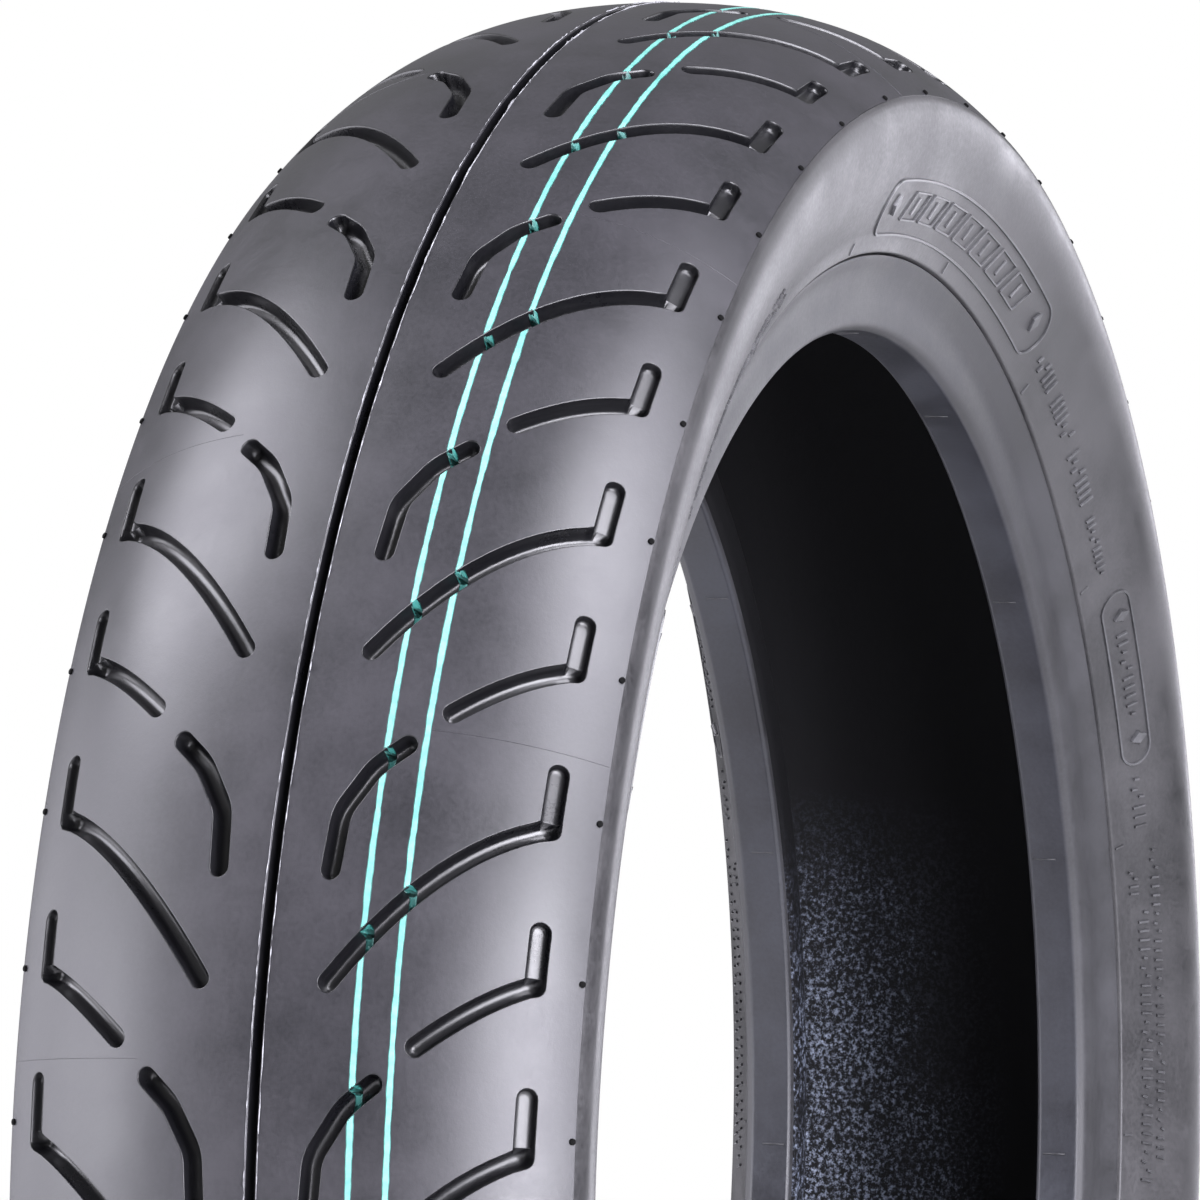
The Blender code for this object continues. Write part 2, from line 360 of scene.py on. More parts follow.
def pitch_patch():
    """One pitch of the left half: points (arc, round arc, depth), faces, and how many of them are crown."""
    low = flat((0, PITCH_TOP - PITCH_DEGREES))[1]
    high = flat((0, PITCH_TOP))[1]
    inner = arc_of(CENTRE_SECTION[0][0] * MM)
    outer = arc_of(CREASE_ACROSS)
    steps_round = FINE_STEPS // PITCHES
    steps_over = 24
    rim = [(inner, low + (high - low) * k / steps_round) for k in range(steps_round)]
    rim += [(inner + (outer - inner) * k / steps_over, high) for k in range(steps_over)]
    rim += [(outer, high - (high - low) * k / steps_round) for k in range(steps_round)]
    rim += [(outer - (outer - inner) * k / steps_over, low) for k in range(steps_over)]
    flats = list(rim)
    edges = [(i, (i + 1) % len(rim)) for i in range(len(rim))]
    outlines = []
    for groove in GROOVES:
        outline = [p for p, d in groove_outline(*groove, 0)]
        start = len(flats)
        edges += [(start + i, start + (i + 1) % len(outline)) for i in range(len(outline))]
        flats += outline
        outlines.append(outline)
    spacing = 3.0 * MM
    rows = int((high - low) / (spacing * 0.866))
    for row in range(1, rows):
        y = low + (high - low) * row / rows
        x = inner + spacing * (0.5 if row % 2 else 1.0)
        while x < outer - 0.4 * spacing:
            near = min(min(math.dist((x, y), p) for p in outline) for outline in outlines)
            if near > 1.3 * MM and not any(inside((x, y), outline) for outline in outlines):
                flats.append((x, y))
            x += spacing
    vertices, _, triangles, _, _, _ = delaunay_2d_cdt([Vector(p) for p in flats], edges, [], 0, 1e-7)
    points = [(v.x, v.y, 0.0) for v in vertices]
    faces = []
    for triangle in triangles:
        centre = tuple(sum(points[i][k] for i in triangle) / 3 for k in (0, 1))
        if not any(inside(centre, outline) for outline in outlines):
            faces.append(tuple(triangle))
    on_crown = len(faces)
    for groove in GROOVES:
        loops = []
        for level in range(len(ARM_SECTION)):
            start = len(points)
            outline = groove_outline(*groove, level)
            points += [(p[0], p[1], d) for p, d in outline]
            loops.append(range(start, start + len(outline)))
        for outer_loop, inner_loop in zip(loops, loops[1:]):
            for i in range(len(outer_loop)):
                j = (i + 1) % len(outer_loop)
                faces.append((outer_loop[i], outer_loop[j], inner_loop[j], inner_loop[i]))
        floor_points = [Vector(points[i][:2]) for i in loops[-1]]
        ring_edges = [(i, (i + 1) % len(floor_points)) for i in range(len(floor_points))]
        placed, _, triangles, _, _, _ = delaunay_2d_cdt(floor_points, ring_edges, [], 1, 1e-7)
        nearest = []
        for v in placed:
            nearest.append(min(loops[-1], key=lambda i: math.dist(points[i][:2], v)))
        for triangle in triangles:
            corners = tuple(nearest[i] for i in triangle)
            if len(set(corners)) == 3:
                faces.append(corners)
    return points, faces, on_crown


def winding_out(points, face):
    """True if a face of the flat layout runs anticlockwise."""
    area = 0.0
    for i, j in zip(face, face[1:] + face[:1]):
        area += points[i][0] * points[j][1] - points[j][0] * points[i][1]
    return area > 0


def build_tread(look, groove_shade_look):
    """The whole tread: the pitch repeated round both halves, the centre groove, the underside."""
    points, faces, on_crown = pitch_patch()
    facing = [face[::-1] if winding_out(points, face) else face for face in faces]
    base = [crown_place(*p)[0] for p in points]
    vertices = []
    solid = []
    # faces inside the grooves, which get the darker rubber as painted shade
    groove_shade_faces = []
    for pitch in range(PITCHES):
        turn = Matrix.Rotation(math.radians(PITCH_DEGREES * pitch), 3, "Y")
        for side in (1, -1):
            start = len(vertices)
            for place in base:
                place = turn @ place
                vertices.append(Vector((place.x, side * place.y, place.z)))
            for face in facing:
                shifted = tuple(start + i for i in face)
                solid.append(shifted if side > 0 else shifted[::-1])
            groove_shade_faces += [i >= on_crown for i in range(len(facing))]
    phase = PATTERN_PHASE + PITCH_TOP
    profile = [(a * MM, crown_radius(a * MM) - d * MM) for a, d in CENTRE_SECTION]
    centre = profile + mirrored(profile)[-2::-1]
    start = len(vertices)
    count = len(centre)
    for i in range(FINE_STEPS):
        degrees = 360.0 * i / FINE_STEPS + phase
        for j, (across, radius) in enumerate(centre):
            lift = 0.0
            if j in (1, 2, count - 2, count - 3):  # the uneven lips of the groove
                at = Vector((degrees * 0.9, across * 900, 3.0))
                lift = 0.14 * MM * noise.noise(at) + 0.16 * MM * max(0.0, noise.noise(at * 3.1))
            vertices.append(Vector(spin_point(across, radius + lift, degrees)))
    for i in range(FINE_STEPS):
        for j in range(count - 1):
            a = start + i * count + j
            b = start + (i + 1) % FINE_STEPS * count + j
            solid.append((a, a + 1, b + 1, b))
            groove_shade_faces.append(2 < j < count - 4)
    edge = (CREASE_ACROSS, crown_radius(CREASE_ACROSS))
    whole = [(-edge[0], edge[1])] + casing_part(TREAD_UNDERSIDE, -TREAD_END, TREAD_END) + [edge]
    start = len(vertices)
    count = len(whole)
    for i in range(FINE_STEPS):
        degrees = 360.0 * i / FINE_STEPS + phase
        vertices += [Vector(spin_point(a, r, degrees)) for a, r in whole]
    for i in range(FINE_STEPS):
        for j in range(count - 1):
            a = start + i * count + j
            b = start + (i + 1) % FINE_STEPS * count + j
            solid.append((a, a + 1, b + 1, b))
    piece = new_piece("tread_surface", vertices, solid, look)
    mesh = piece.data
    mesh.materials.append(groove_shade_look)
    groove_shade_faces += [False] * (len(mesh.polygons) - len(groove_shade_faces))
    mesh.polygons.foreach_set("material_index", groove_shade_faces)
    work = bmesh.new()
    work.from_mesh(mesh)
    bmesh.ops.remove_doubles(work, verts=work.verts, dist=0.01 * MM)
    work.to_mesh(mesh)
    work.free()
    crown_normals(mesh)
    return piece


def crown_normals(mesh):
    """The crown's own normals wherever a vertex lies on it, so that its facets don't show."""
    chosen = []
    for vertex in mesh.vertices:
        x, y, z = vertex.co
        radius = math.hypot(x, z)
        across = abs(y)
        normal = vertex.normal.copy()
        if abs(radius - crown_radius(across)) < 0.002 * MM and across < CREASE_ACROSS + 0.01 * MM:
            slope = crown_slope(across)
            normal = Vector((x / radius, math.copysign(slope, y), z / radius)).normalized()
        chosen.append(normal)
    mesh.normals_split_custom_set_from_vertices(chosen)


# ---------------- materials

def new_look(name, roughness, metallic=0.0):
    """A material that is ready for its nodes: (material, nodes, links, shader, object coordinates)."""
    look = bpy.data.materials.new(name)
    look.use_nodes = True
    nodes = look.node_tree.nodes
    shader = next(n for n in nodes if n.type == "BSDF_PRINCIPLED")
    shader.inputs["Roughness"].default_value = roughness
    shader.inputs["Metallic"].default_value = metallic
    return look, nodes, look.node_tree.links, shader, nodes.new("ShaderNodeTexCoord").outputs["Object"]


def noise_field(nodes, links, vector, scale, detail=3.0, roughness=0.55):
    """Noise with its features about 1/scale metres apart."""
    field = nodes.new("ShaderNodeTexNoise")
    field.inputs["Scale"].default_value = scale
    field.inputs["Detail"].default_value = detail
    field.inputs["Roughness"].default_value = roughness
    links.new(vector, field.inputs["Vector"])
    return field.outputs["Fac"]


def spread(nodes, links, value, low, high, source=(0.3, 0.7)):
    """Maps a field to a range of numbers."""
    mapped = nodes.new("ShaderNodeMapRange")
    mapped.inputs["From Min"].default_value = source[0]
    mapped.inputs["From Max"].default_value = source[1]
    mapped.inputs["To Min"].default_value = low
    mapped.inputs["To Max"].default_value = high
    links.new(value, mapped.inputs["Value"])
    return mapped.outputs["Result"]


def paint(nodes, links, shader, value, stops):
    """Base colours along a field: stops are (place, colour)."""
    ramp = nodes.new("ShaderNodeValToRGB")
    elements = ramp.color_ramp.elements
    while len(elements) < len(stops):
        elements.new(0.5)
    for element, (place, colour) in zip(elements, stops):
        element.position = place
        element.color = (*colour, 1.0)
    links.new(value, ramp.inputs["Fac"])
    links.new(ramp.outputs["Color"], shader.inputs["Base Color"])


def bumps(nodes, links, shader, layers):
    """Bumps on top of each other: layers are (height field, depth in metres)."""
    normal = None
    for height, depth in layers:
        bump = nodes.new("ShaderNodeBump")
        bump.inputs["Strength"].default_value = 1.0
        bump.inputs["Distance"].default_value = depth
        links.new(height, bump.inputs["Height"])
        if normal:
            links.new(normal, bump.inputs["Normal"])
        normal = bump.outputs["Normal"]
    links.new(normal, shader.inputs["Normal"])


def operate(nodes, links, operation, *values):
    """A math node on sockets or numbers."""
    node = nodes.new("ShaderNodeMath")
    node.operation = operation
    for socket, value in zip(node.inputs, values):
        if isinstance(value, (int, float)):
            socket.default_value = value
        else:
            links.new(value, socket)
    return node.outputs["Value"]


def polar(nodes, links, vector):
    """The distance from the axle and the angle round it, as sockets, with the place across."""
    parts = nodes.new("ShaderNodeSeparateXYZ")
    links.new(vector, parts.inputs["Vector"])
    x, y, z = (parts.outputs[k] for k in range(3))
    squares = operate(nodes, links, "ADD", operate(nodes, links, "MULTIPLY", x, x),
                      operate(nodes, links, "MULTIPLY", z, z))
    return operate(nodes, links, "SQRT", squares), operate(nodes, links, "ARCTAN2", z, x), y


def lines(nodes, links, value, pitch):
    """A smooth wave from 0 to 1, one cycle per pitch."""
    wave = operate(nodes, links, "SINE", operate(nodes, links, "MULTIPLY", value, 2 * math.pi / pitch))
    return operate(nodes, links, "MULTIPLY_ADD", wave, 0.5, 0.5)


def rubber(name, dark, light, roughness, grain, turned_marks=0.0, patches=30.0, shine=0.5):
    """Moulded rubber: bloom in soft patches, fine grain, and tool marks of the mould."""
    look, nodes, links, shader, place = new_look(name, sum(roughness) / 2)
    shader.inputs["Specular IOR Level"].default_value = shine
    bloom = noise_field(nodes, links, place, patches, 4.0, 0.6)
    fine = noise_field(nodes, links, place, 900.0, 4.0, 0.6)
    both = operate(nodes, links, "MULTIPLY_ADD", fine, 0.35, operate(nodes, links, "MULTIPLY", bloom, 0.65))
    paint(nodes, links, shader, both, [(0.36, dark), (0.64, light)])
    links.new(spread(nodes, links, both, *roughness, (0.35, 0.65)), shader.inputs["Roughness"])
    layers = [(noise_field(nodes, links, place, 60.0, 2.0), 0.10 * MM), (fine, grain),
              (noise_field(nodes, links, place, 3500.0, 2.0), 0.35 * grain)]
    if turned_marks:
        radius, _, _ = polar(nodes, links, place)
        layers.append((lines(nodes, links, radius, 0.45 * MM), turned_marks))
    bumps(nodes, links, shader, layers)
    return look


LINER_SHINE = 0.16


def liner_rubber(name):
    """Smooth dull inner rubber, near black as painted shade inside the cavity, with pale bluish specks low
    down on the left side as a painted highlight.
    """
    look, nodes, links, shader, place = new_look(name, 0.7)
    shader.inputs["Specular IOR Level"].default_value = LINER_SHINE
    patch = spread(nodes, links, noise_field(nodes, links, place, 13.0, 5.0, 0.62), 0.10, 1.0, (0.40, 0.62))
    fine = noise_field(nodes, links, place, 800.0, 5.0, 0.7)
    parts = nodes.new("ShaderNodeSeparateXYZ")
    links.new(place, parts.inputs["Vector"])
    # where the painted highlight goes: low down and on the left side
    low_down = spread(nodes, links, parts.outputs["Z"], 1.0, 0.0, (0.02, 0.10))
    on_left = spread(nodes, links, parts.outputs["Y"], 0.0, 1.0, (-0.010, 0.035))
    highlight_area = operate(nodes, links, "MULTIPLY", low_down, on_left)
    painted_highlight_specks = operate(nodes, links, "MULTIPLY", spread(nodes, links, fine, 0.0, 1.0, (0.46, 0.70)),
                     operate(nodes, links, "MULTIPLY", patch, highlight_area))
    # near-black base as painted shade in the cavity; the pale bluish specks are a painted highlight
    paint(nodes, links, shader, painted_highlight_specks, [
        (0.0, (0.0015, 0.0015, 0.002)), (0.12, (0.010, 0.011, 0.015)), (0.8, (0.20, 0.23, 0.30))])
    links.new(spread(nodes, links, painted_highlight_specks, 0.80, 0.35, (0.0, 0.8)), shader.inputs["Roughness"])
    waves = noise_field(nodes, links, place, 70.0, 3.0)
    bumps(nodes, links, shader, [(waves, 0.25 * MM), (fine, 0.06 * MM)])
    return look


def fabric(name, dark, light, cords_round):
    """Rubberised cord fabric: fine parallel cords that cross the tyre."""
    look, nodes, links, shader, place = new_look(name, 0.75)
    _, angle, across = polar(nodes, links, place)
    slant = operate(nodes, links, "MULTIPLY_ADD", across, 3.0, angle)
    cords = lines(nodes, links, slant, 2 * math.pi / cords_round)
    worn = operate(nodes, links, "MULTIPLY", cords, noise_field(nodes, links, place, 300.0, 4.0))
    paint(nodes, links, shader, worn, [(0.05, dark), (0.6, light)])
    bumps(nodes, links, shader, [(cords, 0.2 * MM), (noise_field(nodes, links, place, 1500.0), 0.03 * MM)])
    return look


def wire_look(name):
    """Wound bead wire: bronze-coated strands side by side."""
    look, nodes, links, shader, place = new_look(name, 0.34, 1.0)
    radius, _, across = polar(nodes, links, place)
    strand = 1.0 * MM
    strands = operate(nodes, links, "MULTIPLY", lines(nodes, links, radius, strand),
                      lines(nodes, links, across, strand))
    tarnish = noise_field(nodes, links, place, 200.0, 4.0)
    paint(nodes, links, shader, tarnish, [(0.3, (0.42, 0.34, 0.22)), (0.7, (0.66, 0.58, 0.44))])
    links.new(spread(nodes, links, tarnish, 0.26, 0.45), shader.inputs["Roughness"])
    bumps(nodes, links, shader, [(strands, 0.25 * MM)])
    return look


def ink_look(name, thinnest, thickest):
    """Marking ink, uneven: the rubber shows through where it is thin."""
    look, nodes, links, shader, place = new_look(name, 0.5)
    fine = noise_field(nodes, links, place, 420.0, 5.0, 0.65)
    thin = operate(nodes, links, "MULTIPLY_ADD", fine, 0.55,
                   operate(nodes, links, "MULTIPLY", noise_field(nodes, links, place, 28.0), 0.45))
    paint(nodes, links, shader, thin, [(0.32, thinnest), (0.62, thickest)])
    links.new(spread(nodes, links, thin, 0.42, 0.6), shader.inputs["Roughness"])
    bumps(nodes, links, shader, [(noise_field(nodes, links, place, 1500.0), 0.03 * MM), (thin, 0.02 * MM)])
    return look


tread_look = rubber("tread_rubber", (0.010, 0.010, 0.012), (0.021, 0.020, 0.024), (0.34, 0.46), 0.022 * MM)
side_look = rubber("sidewall_rubber", (0.008, 0.008, 0.009), (0.036, 0.035, 0.037), (0.30, 0.54), 0.016 * MM,
                   0.003 * MM, 22.0)
cushion_look = rubber("cushion_rubber", (0.009, 0.009, 0.010), (0.026, 0.026, 0.029), (0.42, 0.60),
                      0.014 * MM, 0.004 * MM, shine=0.40)
liner_shade_and_highlight_look = liner_rubber("liner_rubber")
# Rubber inside the grooves: its darker base colour is painted shade in the recesses; its lower roughness is
# the glossy moulded surface
groove_shade_look = rubber("groove_painted_shade_rubber", (0.002, 0.002, 0.003), (0.007, 0.007, 0.008), (0.25, 0.36), 0.012 * MM,
                     shine=0.46)
# Vent pips: near-black rubber as painted shade for the shadows round the small stalks
pip_shade_look = rubber("pip_painted_shade_rubber", (0.001, 0.001, 0.001), (0.003, 0.003, 0.003), (0.80, 0.95), 0.01 * MM,
                  shine=0.1)
# Flash along the centre groove's lips: pale grey rubber as a painted highlight on the lips
flash_highlight_look = rubber("flash_painted_highlight_rubber", (0.06, 0.06, 0.063), (0.36, 0.36, 0.38), (0.28, 0.40), 0.02 * MM,
                    patches=200.0)
# Bead seat rubber: darker and bluer than the cushion, as painted shade on faces turned down towards the axle
seat_shade_look = rubber("seat_painted_shade_rubber", (0.007, 0.007, 0.009), (0.018, 0.019, 0.024), (0.32, 0.46), 0.02 * MM,
                   shine=0.4)
relief_look = rubber("relief_rubber", (0.018, 0.018, 0.019), (0.060, 0.060, 0.064), (0.28, 0.40), 0.01 * MM)
hard_look = rubber("hard_rubber", (0.030, 0.026, 0.022), (0.050, 0.044, 0.038), (0.55, 0.70), 0.03 * MM)
cord_look = fabric("cord_fabric", (0.10, 0.09, 0.08), (0.34, 0.32, 0.28), 1400)
bead_look = wire_look("bead_wire")
ink = ink_look("stripe_ink", (0.06, 0.25, 0.215), (0.165, 0.41, 0.355))
# Darker ink: the thin edges of the stripe, and painted shade where the stripe runs down into a groove
thin_and_shaded_ink = ink_look("stripe_ink_thin_and_shaded", (0.006, 0.050, 0.044), (0.022, 0.15, 0.13))


# ---------------- the pieces

def finish_piece(piece, slot, *nodes):
    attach(piece, "root")
    if nodes:
        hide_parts(*nodes)
    return piece


tread = build_tread(tread_look, groove_shade_look)
finish_piece(tread, "tread_rubber", "tread_cap")


def wavy(points, steps):
    """A smooth open line through the points."""
    line = []
    for i in range(len(points) - 1):
        before = points[max(i - 1, 0)]
        after = points[min(i + 2, len(points) - 1)]
        start, end = points[i], points[i + 1]
        for k in range(steps):
            t = k / steps
            line.append(tuple(
                0.5 * (2 * s + (e - b) * t + (2 * b - 5 * s + 4 * e - a) * t ** 2
                       + (3 * s - b - 3 * e + a) * t ** 3)
                for b, s, e, a in zip(before, start, end, after)))
    return line + [points[-1]]


def in_metres(line):
    return [(a * MM, r * MM) for a, r in line]


crease_radius = crown_radius(CREASE_ACROSS) / MM
# Left sidewall's outer line: a step at the tread's edge, the belly, the ribs beside the rim line
SHOULDER = [(68.30, crease_radius - 0.12), (68.55, crease_radius - 0.50), (68.85, crease_radius - 1.0)]
BELLY = [
    (69.20, 275.9), (69.70, 273.9), (69.90, 271.6), (69.60, 268.4), (69.0, 265.1), (68.1, 261.9),
    (66.9, 258.6), (65.5, 255.3), (63.9, 252.0), (62.1, 248.7), (60.2, 245.4), (58.6, 242.8)]
RIM_EDGE = [(57.9, 241.5), (57.1, 239.95), (56.6, 238.9), (56.25, 238.2), (55.95, 237.75), (55.1, 237.6)]
OUTER = in_metres(SHOULDER + wavy(BELLY, 4) + wavy(RIM_EDGE, 2))
FLANK_CORNERS = [
    (54.3, 237.3), (55.25, 237.0), (54.9, 236.2), (52.5, 232.3), (51.2, 228.6), (51.2, 222.6),
    (50.4, 219.0), (47.9, 217.6), (37.6, 217.6), (36.75, 218.3), (36.35, 219.3)]
FLANK_CUTS = [0, 0.3, 0.5, 4, 4, 3, 1.2, 0.6, 0.4, 0.3, 0]
FLANK = in_metres(rounded(FLANK_CORNERS, FLANK_CUTS, 5))

# The inner sides of the sidewall and the rim cushion
turned_up = casing_part(PLY + GAP, PLY_END - 0.32, PLY_END - 0.01)
side_inside = [turned_up[0], turned_up[-1]] + casing_part(-GAP, SIDEWALL_TOP, SIDEWALL_FOOT)[::-1]
side_inside.append(casing_part(TREAD_UNDERSIDE - 0.1 * MM, SIDEWALL_TOP, SIDEWALL_TOP + 0.04)[0])
cushion_inside = casing_part(CUSHION_FACE, TOE + 0.1, TURN_UP + 0.3)

# The parts of a bead
CORE_INNER, CORE_OUTER = 0.0397, 0.0442
CORE_BOTTOM, CORE_TOP = 0.2230, 0.2282
CORE_CORNERS = [
    (CORE_INNER, 0.2240), (CORE_INNER, CORE_BOTTOM), (CORE_OUTER, CORE_BOTTOM), (CORE_OUTER, 0.2273),
    (0.0433, CORE_TOP), (0.0406, CORE_TOP), (CORE_INNER, 0.2273), (CORE_INNER, 0.2240)]
core = rounded(CORE_CORNERS, [0] + [0.5 * MM] * 6 + [0], 3)[:-1]
wrap = strip(-GAP, -GAP - WRAP, *WRAP_ENDS)
filler_base = CORE_TOP + 2 * GAP
filler = [(CORE_INNER - GAP, filler_base)] + casing_part(-GAP, FILLER_TOP, FILLER_FOOT)[::-1]
filler += [casing_part(-GAP, start, PLY_END)[0] for start in (PLY_END - 0.02, TURN_UP + 0.1)]
filler.append((CORE_OUTER + GAP, filler_base))
chafer = strip(THIRD_LAYER, THIRD_LAYER + CHAFER, *CHAFER_ENDS)
SEAT_TOP = 0.2184  # cushion faces nearer the axle than this are the bead seat

for side, word in ((1, "left"), (-1, "right")):
    def on_side(section):
        return section if side > 0 else mirrored(section)
    finish_piece(turned("sidewall_surface_" + word, on_side(OUTER + side_inside), side_look, FINE_STEPS),
                 "sidewall_rubber", "sidewall_" + word)
    cushion = turned("rim_cushion_surface_" + word, on_side(FLANK + cushion_inside), cushion_look, FINE_STEPS)
    # the seat faces get the darker rubber as painted shade
    cushion.data.materials.append(seat_shade_look)
    for face in cushion.data.polygons:
        radii = [math.hypot(*cushion.data.vertices[i].co.xz) for i in face.vertices]
        face.material_index = max(radii) < SEAT_TOP
    finish_piece(cushion, "sidewall_rubber", "rim_cushion_" + word)
    for name, section, look, slot, node in (
            ("bead_bundle_", core, bead_look, "bead_wire", "bead_core_"),
            ("bead_wrap_round_", wrap, cord_look, "cord_fabric", "bead_wrap_"),
            ("bead_filler_round_", filler, hard_look, "hard_rubber", "bead_filler_"),
            ("chafer_round_", chafer, cord_look, "cord_fabric", "chafer_")):
        finish_piece(turned(name + word, on_side(section), look), slot, node + word)

liner = strip(THIRD_LAYER, THIRD_LAYER + LINER, -TOE - 0.06, TOE + 0.06)
finish_piece(turned("liner_surface", liner, liner_shade_and_highlight_look, FINE_STEPS), "liner_rubber", "inner_liner")
for node, offsets, reach, look, slot in (
        ("tread_base", UNDERTREAD, UNDERTREAD_END, hard_look, "hard_rubber"),
        ("breaker_ply_outer", BREAKER_OUTER, BREAKER_OUTER_END, cord_look, "cord_fabric"),
        ("breaker_ply_inner", BREAKER_INNER, BREAKER_INNER_END, cord_look, "cord_fabric"),
        ("carcass_ply_outer", (0.0, PLY), PLY_END, cord_look, "cord_fabric"),
        ("carcass_ply_inner", SECOND_PLY, SECOND_PLY_END, cord_look, "cord_fabric")):
    finish_piece(turned(node + "_round", strip(*offsets, -reach, reach), look), slot, node)


# ---------------- marking stripes

STRIPE_HALF = 0.82 * MM
STRIPE_STEPS = 5400
INK_RISE, INK_SINK = 0.07 * MM, -0.03 * MM  # how high the ink stands, and where its edges end in the rubber
STRIPES = {"inner": -0.0226, "outer": -0.0312}
tread_tree = BVHTree.FromObject(tread, bpy.context.evaluated_depsgraph_get())


def stripe(name, across):
    """A ribbon of ink with wandering edges, which follows the tread into its grooves.

    The ink is thin at the edges; down in the grooves the same darker ink stands for painted shade.
    """
    over = 6
    vertices = []
    deep = []
    for i in range(STRIPE_STEPS):
        degrees = 360.0 * i / STRIPE_STEPS
        spot = Vector((math.cos(math.radians(degrees)), math.sin(math.radians(degrees)), across * 40))
        middle = across + 0.22 * MM * noise.noise(spot * 6) + 0.10 * MM * noise.noise(spot * 60)
        half = STRIPE_HALF * (1.05 + 0.22 * noise.noise(spot * 45) + 0.16 * noise.noise(spot * 160))
        half -= 0.8 * STRIPE_HALF * max(0.0, noise.noise(spot * 17) * 5 - 3.1)
        outward = Vector(spin_point(0.0, 1.0, degrees))
        for j in range(over + 1):
            place = Vector((0.0, middle + half * (2 * j / over - 1), 0.0))
            hit = tread_tree.ray_cast(place + outward * (RADIUS + 10 * MM), -outward)
            vertices.append(hit[0] + hit[1] * (INK_SINK if j in (0, over) else INK_RISE))
            # parts of the stripe down in a groove, which get the darker ink as painted shade
            deep.append(math.hypot(hit[0].x, hit[0].z) < crown_radius(hit[0].y) - 0.4 * MM)
    faces = []
    thin = []
    for i in range(STRIPE_STEPS):
        here = i * (over + 1)
        there = (i + 1) % STRIPE_STEPS * (over + 1)
        for j in range(over + 1):
            k = (j + 1) % (over + 1)
            faces.append((here + j, there + j, there + k, here + k))
            # thin ink at the edges, and painted shade on the parts down in a groove
            thin.append(j in (0, over - 1, over) or deep[here + j] or deep[there + k])
    piece = new_piece(name, vertices, faces, ink)
    piece.data.materials.append(thin_and_shaded_ink)
    piece.data.polygons.foreach_set("material_index", thin)
    return piece


for word, across in STRIPES.items():
    finish_piece(stripe("stripe_ribbon_" + word, across), "stripe_ink", "marking_stripe_" + word)


# ---------------- moulding marks on the tread

def crown_nub(across, degrees, radius, height, side):
    """What a vent hole of the mould leaves: a short stalk with a rounded top, as vertices and faces."""
    centre, normal = crown_place(arc_of(across), math.radians(degrees - PATTERN_PHASE) * FLAT_RADIUS, 0.0)
    first = normal.orthogonal().normalized()
    second = normal.cross(first)
    vertices = []
    for share, level in ((1.15, -0.2 * MM), (1.0, 0.1 * MM), (1.0, 0.75 * height), (0.6, height)):
        for k in range(10):
            angle = 2 * math.pi * k / 10
            away = first * math.cos(angle) + second * math.sin(angle)
            place = centre + normal * level + away * radius * share
            vertices.append(Vector((place.x, side * place.y, place.z)))
    faces = []
    for j in range(3):
        for k in range(10):
            n = (k + 1) % 10
            faces.append((j * 10 + k, j * 10 + n, j * 10 + 10 + n, j * 10 + 10 + k))
    faces += [tuple(range(10))[::-1], tuple(range(30, 40))]
    return vertices, faces


def mould_line(start, end, degrees, side):
    """A hair-thin ridge across the shoulder where two segments of the mould meet."""
    vertices = []
    steps = 20
    levels = ((-0.13 * MM, -0.1 * MM), (0.0, 0.07 * MM), (0.13 * MM, -0.1 * MM))
    for i in range(steps + 1):
        across = start + (end - start) * i / steps
        for shift, level in levels:
            round_arc = math.radians(degrees - PATTERN_PHASE) * FLAT_RADIUS + shift
            place, _ = crown_place(arc_of(across), round_arc, -level)
            vertices.append(Vector((place.x, side * place.y, place.z)))
    faces = []
    for i in range(steps):
        for j in range(3):
            k = (j + 1) % 3
            faces.append((3 * i + j, 3 * i + k, 3 * i + 3 + k, 3 * i + 3 + j))
    faces += [(2, 1, 0), (3 * steps, 3 * steps + 1, 3 * steps + 2)]
    return vertices, faces


def joined_piece(name, shapes, look):
    """One piece from several (vertices, faces, turned over)."""
    vertices = []
    faces = []
    for some, more, turned_over in shapes:
        start = len(vertices)
        vertices += some
        faces += [tuple(start + i for i in (face[::-1] if turned_over else face)) for face in more]
    return new_piece(name, vertices, faces, look)


def flash_line(across):
    """A ragged edge of rubber that the mould left along a lip of the centre groove."""
    steps = 3600
    vertices = []
    faces = []
    for i in range(steps):
        degrees = 360.0 * i / steps
        spot = Vector((math.cos(math.radians(degrees)), math.sin(math.radians(degrees)), across * 900)) * 30
        height = 0.12 * MM + 0.5 * MM * max(0.0, noise.noise(spot))
        height += 0.6 * MM * max(0.0, noise.noise(spot * 5.3))
        wander = 0.12 * MM * noise.noise(spot * 1.7)
        low = crown_radius(across) - 0.2 * MM
        for shift, level in ((-0.16 * MM, 0.0), (0.0, 0.2 * MM + height), (0.16 * MM, 0.0)):
            vertices.append(Vector(spin_point(across + shift + wander, low + level, degrees)))
        there = (i + 1) % steps * 3
        faces += [(3 * i + j, there + j, there + (j + 1) % 3, 3 * i + (j + 1) % 3) for j in range(3)]
    return vertices, faces


LIP_ACROSS = 1.52 * MM
PIP_ACROSS = 67.7 * MM
PIP_DEGREES = (8.45, 1.15)  # two in each pitch
